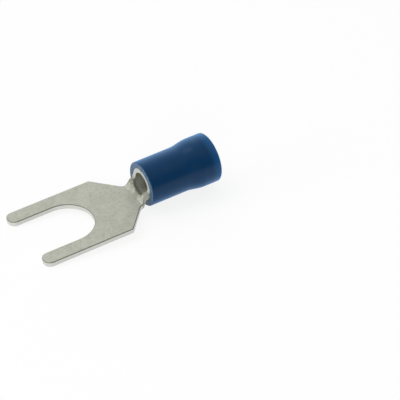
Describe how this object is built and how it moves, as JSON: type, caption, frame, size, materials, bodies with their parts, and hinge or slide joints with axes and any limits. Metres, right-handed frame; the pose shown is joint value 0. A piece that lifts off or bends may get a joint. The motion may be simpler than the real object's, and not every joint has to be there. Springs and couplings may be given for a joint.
{
  "type": "fork terminal",
  "caption": "Insulated crimp fork terminal: a flat open-ended fork, rolled from one metal sheet into a wire barrel that sits in a flared plastic sleeve.",
  "frame": {"origin": "centre of the slot's round end, on the contact face under the tongue", "axes": "+X out of the open end of the fork, +Z to the side on which the barrel is rolled up"},
  "size_m": [0.0236, 0.0102, 0.0058],
  "materials": {
    "tinned_copper": "dull tin plate",
    "blue_pvc": "satin moulded"
  },
  "bodies": {
    "root": {"fork_and_barrel": "tinned_copper", "insulating_sleeve": "blue_pvc"}
  },
  "joints": []
}
